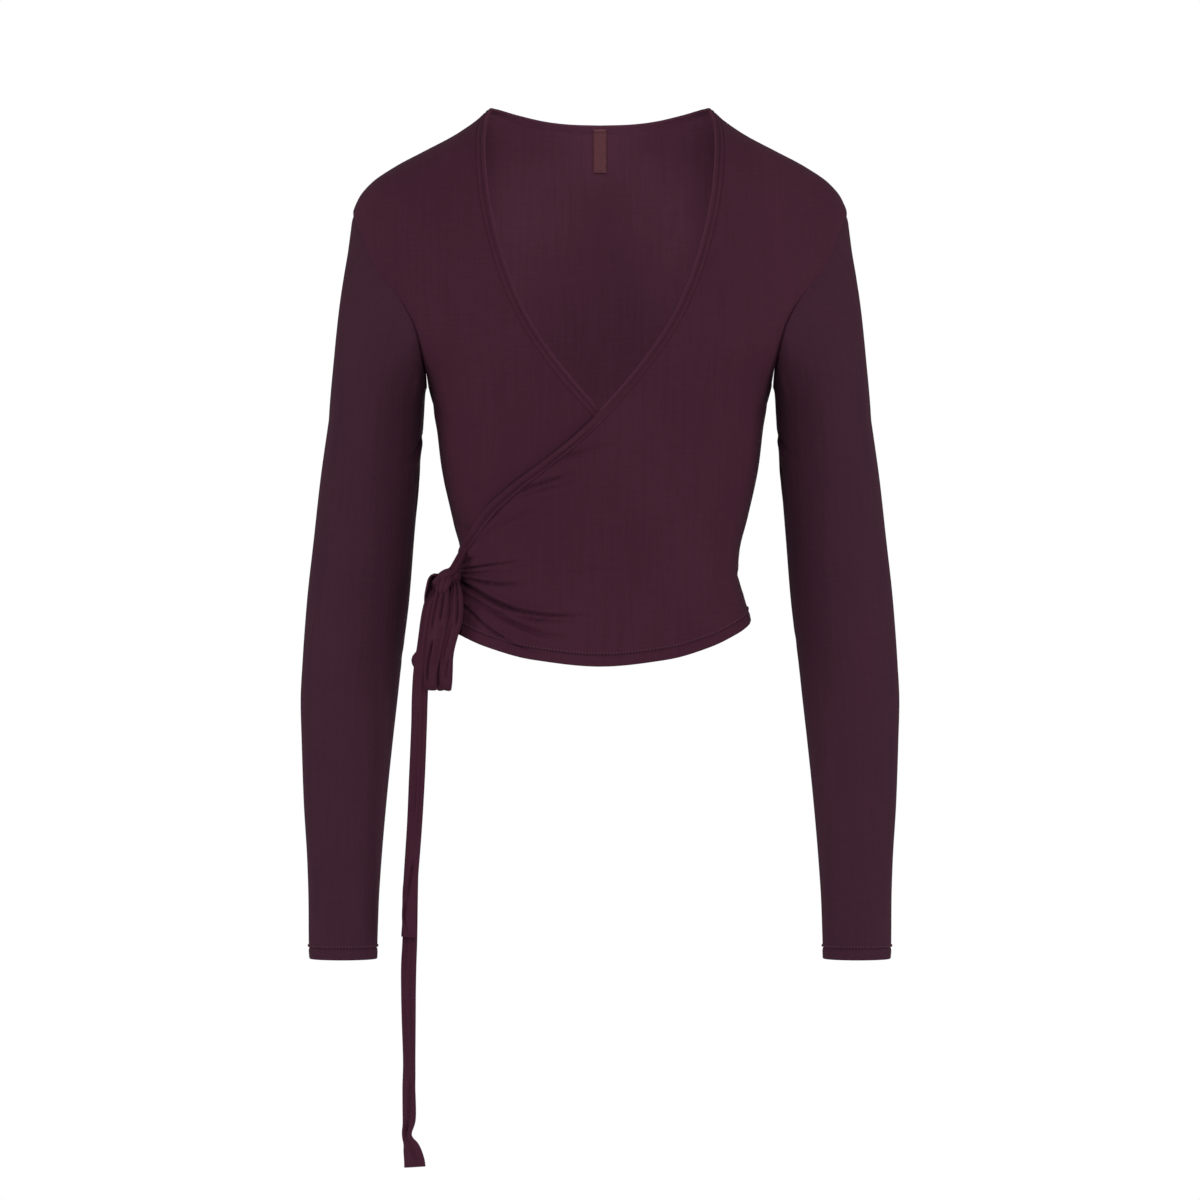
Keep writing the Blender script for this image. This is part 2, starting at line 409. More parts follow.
KNOT_TOP = (
    (-109.4, -49.5, -360.5, 6.0, -20, 1.0), (-112.6, -53, -366.5, 7.2, -20, 1.4),
    (-115.6, -56.5, -372.5, 7.6, -20, 1.8), (-118.8, -60, -378, 7.6, -20, 1.8),
    (-122.6, -63, -381, 7.4, -20, 1.8), (-126.6, -63.5, -383.4, 7.0, -20, 1.8),
    (-130.6, -61.5, -386, 6.4, -20, 1.4), (-134, -57, -389.2, 5.6, -20, 0.8),
)
KNOT_TOP_CREASES = ((0, 0.1, 36, -0.12, 1.3, 1.0),)
KNOT_SIDE = (
    (-128, -51, -385.4, 12, 70, -0.8), (-132.8, -51.5, -383.2, 14, 70, -1.2),
    (-135.8, -51.5, -385.8, 15, 70, -1.6), (-137.2, -51, -391, 14, 70, -1.8),
    (-139.4, -50, -398.2, 10.5, 70, -1.4), (-140.8, -48.5, -404.5, 5.5, 66, -0.8),
)

# ---------------------------------------------------------------- tables and curves


def table(rows, names):
    return dict(zip(names, np.array(rows, float).T))


def smooth(keys, values, at):
    """A smooth curve through the values, with no overshoot between them."""
    if keys[0] > keys[-1]:
        keys, values = keys[::-1], values[::-1]
    span = np.diff(keys)
    slope = np.diff(values) / span
    tangent = np.zeros(len(keys))
    same_way = slope[:-1] * slope[1:] > 0
    before, after = slope[:-1][same_way], slope[1:][same_way]
    tangent[1:-1][same_way] = 2 * before * after / (before + after)
    tangent[0], tangent[-1] = slope[0], slope[-1]
    at = np.clip(at, keys[0], keys[-1])
    i = np.clip(np.searchsorted(keys, at) - 1, 0, len(span) - 1)
    t = (at - keys[i]) / span[i]
    return (
        values[i] * (1 + 2 * t) * (1 - t) ** 2
        + tangent[i] * span[i] * t * (1 - t) ** 2
        + values[i + 1] * t * t * (3 - 2 * t)
        + tangent[i + 1] * span[i] * t * t * (t - 1)
    )


def through(points, count):
    """Points on a Catmull-Rom curve through the rows given, count to each stretch."""
    points = np.array(points, float)
    ends = np.vstack([2 * points[0] - points[1], points, 2 * points[-1] - points[-2]])
    t = np.linspace(0, 1, count, endpoint=False)[:, None]
    stretches = []
    for a, b, c, d in zip(ends[:-3], ends[1:-2], ends[2:-1], ends[3:]):
        bend = 2 * a - 5 * b + 4 * c - d
        twist = 3 * b - a - 3 * c + d
        stretches.append(0.5 * (2 * b + (c - a) * t + bend * t**2 + twist * t**3))
    return np.vstack(stretches + [points[-1:]])


def running_length(points):
    steps = np.linalg.norm(np.diff(points[:, :3], axis=0), axis=1)
    return np.concatenate([[0], np.cumsum(steps)])


def read_off(rows, run, stops):
    """The rows again at these stops of their running length."""
    return np.stack([np.interp(stops, run, values) for values in rows.T], 1)


def stops_along(run, step, least=1):
    return np.linspace(0, run[-1], max(least, math.ceil(run[-1] / step)) + 1)


def evenly(path, surface, step):
    """A (turn, z) path again, with its points evenly apart on the surface."""
    run = running_length(surface(*path.T))
    return read_off(path, run, stops_along(run, step, 2))


def ease(t):
    t = np.clip(t, 0, 1)
    return t * t * (3 - 2 * t)


def bell(away):
    return np.exp(-(away**2))


def unit(vectors):
    return vectors / np.linalg.norm(vectors, axis=-1, keepdims=True)


# ---------------------------------------------------------------- creases


def crease_line(rows, turn_scale=1.0):
    """A crease's points close together, each with its depth and width."""
    points = through(rows, 12) * (turn_scale, 1, 1, 1)
    run = running_length(points[:, :2])
    return read_off(points, run, stops_along(run, CREASE_STEP))


def crease_relief(creases, place):
    """How far the cloth stands out at each place: troughs with a bank on both sides."""
    relief = np.zeros(len(place))
    for line in creases:
        reach = CREASE_REACH * line[:, 3].max()
        low, high = line[:, :2].min(0) - reach, line[:, :2].max(0) + reach
        near = np.flatnonzero(((place > low) & (place < high)).all(1))
        if not len(near):
            continue
        gap = place[near, None] - line[:, :2]
        squared = (gap * gap).sum(-1)
        nearest = squared.argmin(1)
        depth, width = line[nearest, 2], line[nearest, 3]
        away = np.sqrt(squared.min(1)) / width
        way = np.gradient(line[:, :2], axis=0)[nearest]
        gap = gap[np.arange(len(near)), nearest]
        left = way[:, 0] * gap[:, 1] > way[:, 1] * gap[:, 0]
        bank = np.where(left, *RIDGES) * bell((away - RIDGE_PLACE) / RIDGE_WIDTH)
        relief[near] += depth * (bank - bell(away))
    return relief


FRONT_LINES = [crease_line(rows) for rows in KNOT_CREASES + UNDER_EDGE_SHOWS + ARMPIT_CREASES]
UNDER_LINES = [crease_line(rows) for rows in UNDER_CREASES]
HIDDEN_LINES = [crease_line(rows, TURN_SCALE) for rows in HIDDEN_CREASES]


def hidden_relief(turn, z):
    """The creases of the sides and back, wherever a panel counts its turns from."""
    turn = np.where(turn < FAR_SIDE, turn + 360, turn)
    return crease_relief(HIDDEN_LINES, np.stack([turn * TURN_SCALE, z], -1))


# ---------------------------------------------------------------- the form

FORM_TABLE = table(FORM, FORM_COLUMNS)
NUDGE = 0.2  # degrees or millimetres, for measuring how a surface slopes


def form_size(name, z):
    return smooth(FORM_TABLE["z"], FORM_TABLE[name], z)


def form(turn, z):
    angle = np.radians(turn)
    depth = np.where(np.cos(angle) > 0, form_size("front", z), form_size("back", z))
    fuller = 1 + FORM_FULLNESS * np.sin(angle) ** 2
    x = form_size("half_width", z) * np.sin(angle)
    y = -depth * np.cos(angle) * fuller
    return np.stack([x, y, z + 0 * x], -1)


def slopes(surface, turn, z):
    """How the surface moves for a degree of turn and for a millimetre of height."""
    across = (surface(turn + NUDGE, z) - surface(turn - NUDGE, z)) / (2 * NUDGE)
    up = (surface(turn, z + NUDGE) - surface(turn, z - NUDGE)) / (2 * NUDGE)
    return across, up


def outward(surface, turn, z):
    return unit(np.cross(*slopes(surface, turn, z)))


def raised(lift):
    """The form moved out by lift(turn, z)."""

    def surface(turn, z):
        return form(turn, z) + outward(form, turn, z) * lift(turn, z)[..., None]

    return surface


def over_lift(turn, z):
    lap = OVER_LIFT * ease((LAP_TURN - turn) / LAP_SPAN)
    place = form(turn, z)
    apart = np.linalg.norm(place - form(*np.array(PULL_PLACE)), axis=-1)
    pull = PULL_HEIGHT * bell(apart / PULL_REACH)
    return lap + pull + crease_relief(FRONT_LINES, place[..., [0, 2]]) + hidden_relief(turn, z)


def under_lift(turn, z):
    sink = UNDER_SINK * ease((turn + LAP_TURN) / LAP_SPAN)
    place = form(turn, z)[..., [0, 2]]
    return crease_relief(UNDER_LINES, place) + hidden_relief(turn, z) - sink


def neck_lift(turn, z):
    """For the bound edge, whose turn runs from 90 at the far side seam down to -437."""
    back = (turn >= -270) & (turn <= -90)
    return np.where(turn < -270, over_lift(turn + 360, z), under_lift(turn, z)) * ~back


BACK = raised(hidden_relief)
OVER = raised(over_lift)
UNDER = raised(under_lift)
NECK = raised(neck_lift)


def turn_at(x, z):
    """The turn at which the front of the form has this x."""
    return np.degrees(np.arcsin(np.clip(x / form_size("half_width", z), -1, 1)))


def shifted(path, surface, distance):
    """A (turn, z) path moved sideways over the surface, to the left of the way it runs."""
    across, up = slopes(surface, *path.T)
    run = np.gradient(surface(*path.T), axis=0)
    side = unit(np.cross(outward(surface, *path.T), run)) * distance
    aa, ab, bb = (across * across).sum(1), (across * up).sum(1), (up * up).sum(1)
    a, b = (across * side).sum(1), (up * side).sum(1)
    spread = aa * bb - ab * ab
    return path + np.stack([bb * a - ab * b, aa * b - ab * a], 1) / spread[:, None]


# How far round the body the cloth has run at each turn and height
ROUND_TURNS = np.arange(-102.0, 283.0)
ROUND_RISE = 4.0
ROUND_HEIGHTS = np.arange(2.0, -476.0, -ROUND_RISE)
ROUND_STEPS = np.linalg.norm(
    np.diff(form(ROUND_TURNS[None, :], ROUND_HEIGHTS[:, None]), axis=1), axis=-1
)
ROUND_RUN = np.hstack([np.zeros((len(ROUND_HEIGHTS), 1)), ROUND_STEPS.cumsum(1)])


def run_at(turn, z):
    column = np.clip(turn - ROUND_TURNS[0], 0, len(ROUND_TURNS) - 1.001)
    row = np.clip((ROUND_HEIGHTS[0] - z) / ROUND_RISE, 0, len(ROUND_HEIGHTS) - 1.001)
    c, r = column.astype(int), row.astype(int)
    u, v = column - c, row - r
    top = ROUND_RUN[r, c] * (1 - u) + ROUND_RUN[r, c + 1] * u
    low = ROUND_RUN[r + 1, c] * (1 - u) + ROUND_RUN[r + 1, c + 1] * u
    return top * (1 - v) + low * v


def cloth_place(turn, z, centre):
    """Where a point lies on the flat cloth, in metres: across from its centre, and up."""
    return np.stack([run_at(turn, z) - run_at(centre + 0 * turn, z), z], 1) * MM


# ---------------------------------------------------------------- seams, as (turn, z) paths

MIRRORED = (-1, 1)  # a path times this runs over the other side of the body
BEHIND = (180, 0)
WHOLE_TURN = (360, 0)
HEM_TURNS, HEM_HEIGHTS = np.array(HEM, float).T


def seen_path(rows):
    """A curve given as seen from the front, as a path on the front of the form."""
    points = through(rows, 8)
    return np.stack([turn_at(points[:, 0], points[:, 1]), points[:, 1]], 1)


def upright(turn, start_z, end_z):
    z = np.linspace(start_z, end_z, 40)
    return np.stack([turn + 0 * z, z], 1)


def hem_z(turn):
    return smooth(HEM_TURNS, HEM_HEIGHTS, np.abs((turn + 180) % 360 - 180))


def hem_path(start, end, count=80, up=0.0):
    turn = np.linspace(start, end, count)
    return np.stack([turn, hem_z(turn) + up], 1)


def armhole_path(shares):
    """The front half of the armhole seam, at these shares of its length from the top."""
    path = evenly(seen_path(ARMHOLE), form, 0.5)
    run = running_length(form(*path.T))
    path[[0, -1], 0] = 90.0
    return read_off(path, run, np.asarray(shares) * run[-1])


def run_on(path):
    """The path with one more point past its end, straight on."""
    way = path[-1] - path[-2]
    return np.vstack([path, path[-1] + way * END_TURN_STEP / abs(way[0])])


def neck_path():
    """The bound edge: up the under front, round the back neck and down the over front.

    Its turn falls all the way, from past 90 at the far side seam to past -437 at the knot.
    """
    under = run_on(seen_path(WRAP_EDGE[:-3] + UNDER_EDGE_END) * MIRRORED)[::-1]
    back = BEHIND - seen_path(BACK_NECK) * (1, -1)
    back = np.vstack([back * MIRRORED, (back - WHOLE_TURN)[-2::-1]])
    over = run_on(seen_path(WRAP_EDGE) - WHOLE_TURN)
    under, back, over = (evenly(part, NECK, BINDING_STEP) for part in (under, back, over))
    path = np.vstack([under[:-1], back[:-1], over])
    for corner in len(under) - 1, len(under) + len(back) - 2:
        near = np.arange(corner - 4, corner + 5)
        for _ in range(NECK_ROUNDING):
            path[near] = (path[near - 1] + 2 * path[near] + path[near + 1]) / 4
    return path


NECK_ENDS = (90.0, OVER_END_TURN - 360)
END_MARGIN = 0.3  # degrees between an end and the next point


def neck_rows(*distances):
    """Matching paths at these distances inside the bound edge, cut off at its two ends."""
    edge = neck_path()
    start, end = SPREAD_TURNS
    wider = 1 + BINDING_SPREAD * ease((start - edge[:, :1]) / (start - end))
    paths = [shifted(edge, NECK, distance * wider) for distance in distances]
    turns = np.array([path[:, 0] for path in paths])
    before = (turns < NECK_ENDS[0] - END_MARGIN).all(0)
    within = before & (turns > NECK_ENDS[1] + END_MARGIN).all(0)
    rows = []
    for path in paths:
        ends = [[t, np.interp(-t, -path[:, 0], path[:, 1])] for t in NECK_ENDS]
        rows.append(np.vstack([ends[:1], path[within], ends[1:]]))
    return rows


def neck_corner(path, turn):
    """Which point of a neck path lies on the shoulder seam at this turn."""
    return int(np.abs(path[:, 0] - turn).argmin())


# ---------------------------------------------------------------- meshes

OUTSIDE, INSIDE, FOLD, PRESSED = range(4)  # the finishes of a piece, by slot
PLAIN_THREAD, DITCH_THREAD = range(2)
SHARP_ANGLE = 60.0


def add_cloth(name, points, faces, places, finishes, slots=OUTSIDE):
    """A closed piece in millimetres, with each point's place on the flat cloth in metres."""
    points = np.asarray(points, float) * MM
    corners = np.array([face[:3] for face in faces])
    quads = np.array([(face[0], face[2], face[3]) for face in faces if len(face) == 4])
    triangles = np.vstack([corners, quads.reshape(-1, 3)]).astype(int)
    if np.linalg.det(points[triangles]).sum() < 0:
        faces = [tuple(face[::-1]) for face in faces]
    mesh = bpy.data.meshes.new(name)
    mesh.from_pydata(points.tolist(), [], faces)
    for finish in finishes:
        mesh.materials.append(finish)
    mesh.polygons.foreach_set("material_index", np.zeros(len(faces), int) + slots)
    mesh.shade_smooth()
    mesh.set_sharp_from_angle(angle=math.radians(SHARP_ANGLE))
    corner_points = np.empty(len(mesh.loops), int)
    mesh.loops.foreach_get("vertex_index", corner_points)
    flat = mesh.uv_layers.new(name="cloth")
    flat.data.foreach_set("uv", np.asarray(places, float)[corner_points].ravel())
    piece = bpy.data.objects.new(name, mesh)
    bpy.context.scene.collection.objects.link(piece)
    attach(piece, "root")
    return piece


def add_tube(name, rings, places, finishes, side_slots=OUTSIDE):
    """A closed solid through rings of points, rings by sides, with flat ends."""
    count, sides = rings.shape[:2]
    faces = [tuple(range(sides)), tuple(range((count - 1) * sides, count * sides))[::-1]]
    for ring in range(count - 1):
        for side in range(sides):
            a, b = ring * sides + side, ring * sides + (side + 1) % sides
            faces.append((a, a + sides, b + sides, b))
    slots = np.zeros(len(faces), int)
    slots[2:] = np.ravel(side_slots)
    return add_cloth(name, rings.reshape(-1, 3), faces, places.reshape(-1, 2), finishes, slots)


def gap_to(points, path):
    """How far each point is from a path."""
    start, way = path[:-1], np.diff(path, axis=0)
    length = np.maximum((way * way).sum(1), 1e-12)
    nearest = []
    for k in range(0, len(points), AT_ONCE):
        gap = points[k : k + AT_ONCE, None] - start
        share = np.clip((gap * way).sum(-1) / length, 0, 1)
        gap -= share[..., None] * way
        nearest.append(np.sqrt((gap * gap).sum(-1).min(1)))
    return np.concatenate(nearest)


def inside(points, outline):
    """Which points lie inside a closed outline."""
    found = []
    a, b = outline, np.roll(outline, -1, axis=0)
    rise = np.where(a[:, 1] == b[:, 1], 1.0, b[:, 1] - a[:, 1])
    for k in range(0, len(points), AT_ONCE):
        x, y = points[k : k + AT_ONCE, None, 0], points[k : k + AT_ONCE, None, 1]
        crosses = (a[:, 1] > y) != (b[:, 1] > y)
        reach = a[:, 0] + (y - a[:, 1]) / rise * (b[:, 0] - a[:, 0])
        found.append((crosses & (x < reach)).sum(1) % 2 == 1)
    return np.concatenate(found)


def rows_between(outline, step):
    """Staggered rows of points, a step apart, over the box round an outline."""
    found = []
    (left, bottom), (right, z) = outline.min(0), outline.max(0)
    while z > bottom:
        rise = (form_size("half_width", z + 1) - form_size("half_width", z - 1)) / 2
        z -= ROW_FALL * step / math.hypot(1, rise)
        start = left + step * ((len(found) + 1) % 2) / 2
        u = np.arange(start, right, step)
        found.append(np.stack([u, z + 0 * u], 1))
    return np.vstack(found)


def everywhere(points):
    return np.ones(len(points), bool)


def gathered(points):
    """Where the over front is drawn into the knot and needs closer points."""
    return (points[:, 0] / TURN_SCALE < GATHER_TURN) & (points[:, 1] < GATHER_TOP)


def drawn(points):
    """Where the bound edge's pull creases the over front."""
    turn, z = points[:, 0] / TURN_SCALE, points[:, 1]
    return (turn < DRAWN_TURN) & (z < DRAWN_TOP) & ~gathered(points)


def elsewhere(points):
    return ~gathered(points) & ~drawn(points)


FLAT_SCALE = np.array([TURN_SCALE, 1.0])


def cut_panel(outline, lines, zones):
    """Triangles that fill an outline of (turn, z) points, with lines of points laid in it."""
    border = outline * FLAT_SCALE
    points, edges = [border], [(k, (k + 1) % len(border)) for k in range(len(border))]
    tracks = [np.vstack([border, border[:1]])]
    count = len(border)
    for line in lines:
        edges += [(count + k, count + k + 1) for k in range(len(line) - 1)]
        points.append(line * FLAT_SCALE)
        tracks.append(line * FLAT_SCALE)
        count += len(line)
    for step, zone in zones:
        rows = rows_between(border, step)
        rows = rows[zone(rows)]
        rows = rows[inside(rows, border)]
        for track in tracks:
            rows = rows[gap_to(rows, track) > step / 2]
        points.append(rows)
    points = np.vstack(points)
    result = delaunay_2d_cdt([Vector(p) for p in points.tolist()], edges, [], 1, 1e-4)
    places = np.array([tuple(v) for v in result[0]]) / FLAT_SCALE
    return places, [tuple(face) for face in result[2]]


def hem_lines(start, end):
    """Lines of points that follow the hem, where its thickness changes."""
    return [hem_path(start, end, 130, up) for up in (*HEM_LEVELS, HEM_DEPTH + 1.0)]


def hem_half(up):
    """Half the cloth's thickness, this far up from the turned edge."""
    start, end = HEM_FADE
    double = 1 - ease((up - HEM_DEPTH - start) / (end - start))
    half = (CLOTH + (HEM_CLOTH - CLOTH) * double) / 2
    roll = np.clip(1 - up / HEM_ROLL, 0, HEM_BLUNT)
    return half * np.sqrt(1 - roll**2)


def stitch_sink(up):
    """How far the hem's stitches pull its outside in."""
    return sum(sink * bell((up - row) / width) for row, sink, width, _ in HEM_STITCH_ROWS)


def add_panel(name, surface, seams, sewn, lines, zones, centre, finishes):
    """A panel of cloth inside seams that follow each other round its edge.

    The cloth sinks towards those seams, by number, that are sewn to another piece.
    """
    outline = np.vstack([seam[:-1] for seam in seams])
    after = np.roll(outline, -1, axis=0)
    if (outline[:, 0] * after[:, 1] - outline[:, 1] * after[:, 0]).sum() < 0:
        outline = outline[::-1]
    closed = np.vstack([outline[-1:], outline, outline[:1]])
    outline = shifted(closed, surface, SEAM_GAP / 2)[1:-1]
    places, triangles = cut_panel(outline, lines, zones)
    turn, z = places.T
    apart = np.min([gap_to(places * FLAT_SCALE, seams[k] * FLAT_SCALE) for k in sewn], axis=0)
    up = z - hem_z(turn)
    half = hem_half(up)
    normal = outward(surface, turn, z)
    middle = surface(turn, z) - normal * (SEAM_DIP * bell(apart / SEAM_REACH))[:, None]
    outer = middle + normal * (half - stitch_sink(up))[:, None]
    count = len(places)
    inner = [(c + count, b + count, a + count) for a, b, c in triangles]
    sides = {(t[k], t[(k + 1) % 3]) for t in triangles for k in range(3)}
    rim = sorted((b, a, a + count, b + count) for a, b in sides if (b, a) not in sides)
    points = np.vstack([outer, middle - normal * half[:, None]])
    flat = cloth_place(turn, z, centre)
    slots = np.repeat([OUTSIDE, INSIDE], [len(triangles + rim), len(inner)])
    return add_cloth(name, points, triangles + rim + inner, np.tile(flat, (2, 1)), finishes, slots)


# ---------------------------------------------------------------- the body of the top

SIDE_MARGIN = 0.6  # a hem's lines of points end this many degrees short of its seams


def make_panels(finishes):
    neck = neck_rows(0.0, BINDING_WIDTH)[1]
    right, left = neck_corner(neck, -90.0), neck_corner(neck, -270.0)
    armhole = armhole_path(np.linspace(0, 1, 61))
    tip, armpit, side_hem = ARMHOLE[0][1], ARMHOLE[-1][1], hem_z(90.0)

    def seam(path, surface):
        return evenly(path, surface, SEAM_STEP)

    def shoulder(turn, corner):
        """Up the shoulder seam to the corner that the panels share at the neck."""
        return seam(np.vstack([upright(turn, tip, corner[1] - 2), [corner]]), BACK)

    def panel(name, surface, seams, sewn, zones, start, end, centre):
        lines = hem_lines(start + SIDE_MARGIN, end - SIDE_MARGIN)
        return add_panel(name, surface, seams, sewn, lines, zones, centre, finishes)

    wrap = neck[left:] + WHOLE_TURN
    seams = (
        wrap,
        seam(upright(OVER_END_TURN, wrap[-1, 1], hem_z(OVER_END_TURN)), OVER),
        seam(hem_path(OVER_END_TURN, 90.0), OVER),
        seam(upright(90.0, side_hem, armpit), OVER),
        armhole[::-1],
        shoulder(90.0, wrap[0]),
    )
    zones = ((FRONT_STEP, elsewhere), (DRAWN_STEP, drawn), (GATHER_STEP, gathered))
    over = panel("front_over_cloth", OVER, seams, (3, 4, 5), zones, OVER_END_TURN, 90.0, 0.0)
    wrap = neck[: right + 1]
    seams = (
        wrap,
        shoulder(-90.0, wrap[-1])[::-1],
        armhole * MIRRORED,
        seam(upright(-90.0, armpit, side_hem), UNDER),
        seam(hem_path(-90.0, 90.0), UNDER),
        seam(upright(90.0, side_hem, wrap[0, 1]), UNDER),
    )
    zones = ((BACK_STEP, everywhere),)
    under = panel("front_under_cloth", UNDER, seams, (1, 2, 3, 5), zones, -90.0, 90.0, 0.0)
    neck = neck[right : left + 1] + WHOLE_TURN
    seams = (
        neck,
        shoulder(90.0, neck[-1])[::-1],
        BEHIND + armhole * MIRRORED,
        seam(upright(90.0, armpit, side_hem), BACK),
        seam(hem_path(90.0, 270.0), BACK),
        seam(upright(270.0, side_hem, armpit), BACK),
        (BEHIND + armhole)[::-1],
        shoulder(270.0, neck[0]),
    )
    back = panel("back_cloth", BACK, seams, (1, 2, 3, 5, 6, 7), zones, 90.0, 270.0, 180.0)
    return over, under, back


def make_binding(finishes):
    """The strip that folds over the raw neck edge, level with the panels it is sewn to.

    It comes with the tracks of its stitches, round the neck and along the lap.
    """
    path, far = neck_rows(0.0, BINDING_WIDTH)
    edge, normal = NECK(*path.T), outward(NECK, *path.T)
    across = (NECK(*far.T) - edge) / BINDING_WIDTH
    section = table(BINDING_OUTSIDE, BINDING_COLUMNS)
    start, end = BINDING_LAP
    lap = ease((start - path[:, :1]) / (start - end))
    place = (path + WHOLE_TURN).T
    apart = (over_lift(*place) - under_lift(*place))[:, None]
    curl = lap * np.clip(apart - CURL_CLEARANCE, 0, BINDING_CURL)
    ins = [*section["in"], *(far_in for far_in, out in BINDING_INSIDE)]
    outs = [neck + (laid - neck) * lap for neck, laid in zip(section["neck"], section["lap"])]
    outs += [out + 0 * lap for far_in, out in BINDING_INSIDE]
    rings, places = [], []
    run = running_length(edge)
    for far_in, out in zip(ins, outs):
        rings.append(edge + across * far_in + normal * (out - curl * bell(far_in / CURL_REACH)))
        places.append(np.stack([far_in + 0 * run, run], 1) * MM)
    around = np.repeat([OUTSIDE, INSIDE, FOLD], [len(section["in"]), len(BINDING_INSIDE) - 1, 1])
    around[:BINDING_FOLD] = FOLD
    some, most = FOLD_GIVES_WAY
    laid = np.where(lap[1:] > most, PRESSED, OUTSIDE)
    slots = np.where((around == FOLD) & (lap[1:] > some), laid, around)
    rings, places = np.stack(rings, 1), np.stack(places, 1)
    piece = add_tube("neck_binding_cloth", rings, places, finishes, slots)
    tracks = []
    for row in BINDING_STITCH_ROWS:
        for name, part in (("neck", lap[:, 0] < 0.5), ("lap", lap[:, 0] >= 0.5)):
            level = np.interp(row, section["in"], section[name])
            at = edge + across * row + normal * level
            if level < DITCH_LEVEL:
                tracks.append((at[part], normal[part], DITCH_THREAD, False))
    return piece, tracks


# ---------------------------------------------------------------- sleeves


def sleeve_angles():
    """Degrees from its outer side over the front, round from the seam and closer there."""
    even = np.linspace(0, 360, SLEEVE_SIDES, endpoint=False)
    extra = 180 + np.array([-2, -1, 1, 2]) * UNDERARM_REACH
    angles = np.sort(np.concatenate([even, extra]))
    return np.roll(angles, -int(np.searchsorted(angles, 180)))


SLEEVE_TABLE = table(SLEEVE, SLEEVE_COLUMNS)
SLEEVE_TOP, CUFF = SLEEVE[0][0], SLEEVE[-1][0]


def sleeve_section(z, angles):
    """A level ring of the sleeve."""
    size = {name: smooth(SLEEVE_TABLE["z"], values, z) for name, values in SLEEVE_TABLE.items()}
    turn = np.radians(angles)
    middle_x = (size["outer"] + size["inner"]) / 2
    half_width = (size["outer"] - size["inner"]) / 2
    x = middle_x + half_width * np.cos(turn)
    y = size["middle_y"] - size["half_depth"] * np.sin(turn)
    return np.stack([x, y, z + 0 * x], 1)


def cap_rings(angles):
    """The sleeve's rings from the armhole seam down to below the armpit, and the seam's facing."""
    loop = armhole_path(np.minimum(angles, 360 - angles) / 180)
    behind = angles > 180
    loop[behind] = BEHIND + loop[behind] * MIRRORED
    seam, facing = form(*loop.T), outward(form, *loop.T)
    top = sleeve_section(SLEEVE_TOP, angles)
    apart = np.linalg.norm(top - seam, axis=1, keepdims=True)
    along_seam = np.roll(seam, -1, axis=0) - np.roll(seam, 1, axis=0)
    across_seam = unit(np.cross(facing, along_seam))
    across_seam *= np.sign((across_seam * CAP_FALL).sum(1, keepdims=True))
    high = ease((seam[:, 2:] - ARMHOLE[-1][1]) / CAP_BLEND)
    follow = CAP_FOLLOW * high
    leave = unit(follow * across_seam + (1 - follow) * unit(top - seam))
    seam = seam + facing * ARMPIT_CLEARANCE * (1 - high) + leave * SEAM_GAP / 2
    arrive = unit(sleeve_section(SLEEVE_TOP - 1, angles) - top)
    steps = np.linspace(0, 1, CAP_RINGS, endpoint=False)
    rings = []
    for t in np.sort(np.concatenate([steps, CAP_EXTRA])):
        ring = (
            seam * (1 + 2 * t) * (1 - t) ** 2
            + leave * apart * t * (1 - t) ** 2
            + top * t * t * (3 - 2 * t)
            + arrive * apart * t * t * (t - 1)
            + facing * CAP_FULLNESS * high * 4 * t * (1 - t)
        )
        rings.append(ring - facing * SEAM_DIP * bell(t * apart / SEAM_REACH))
    return rings, facing


def sleeve_middle(angles):
    """The middle of the sleeve's cloth, rings by sides, and the way it faces."""
    cap, facing = cap_rings(angles)
    end = CUFF + HEM_DEPTH + 2
    heights = np.linspace(SLEEVE_TOP, end, math.ceil((SLEEVE_TOP - end) / SLEEVE_RING_STEP))
    hem = sorted((*CUFF_LEVELS, *HEM_LEVELS), reverse=True)
    heights = [*heights, *(CUFF + up for up in hem)]
    rings = np.array(cap + [sleeve_section(z, angles) for z in heights])
    round_it = np.roll(rings, -1, axis=1) - np.roll(rings, 1, axis=1)
    normal = unit(np.cross(round_it, np.gradient(rings, axis=0)))
    normal[0] = facing
    return rings, normal


def sleeve_places(middle, angles):
    """Where the sleeve's points lie on the flat cloth, round from the middle of its front."""
    round_it = np.linalg.norm(np.diff(middle, axis=1), axis=-1).cumsum(1)
    round_it = np.pad(round_it, ((0, 0), (1, 0)))
    round_it = round_it - round_it[:, [int(np.abs(angles - 90).argmin())]]
    down = np.linalg.norm(np.diff(middle, axis=0), axis=-1).cumsum(0)
    down = np.pad(down, ((1, 0), (0, 0)))
    return np.stack([round_it, down[-1:] - down], -1).reshape(-1, 2) * MM


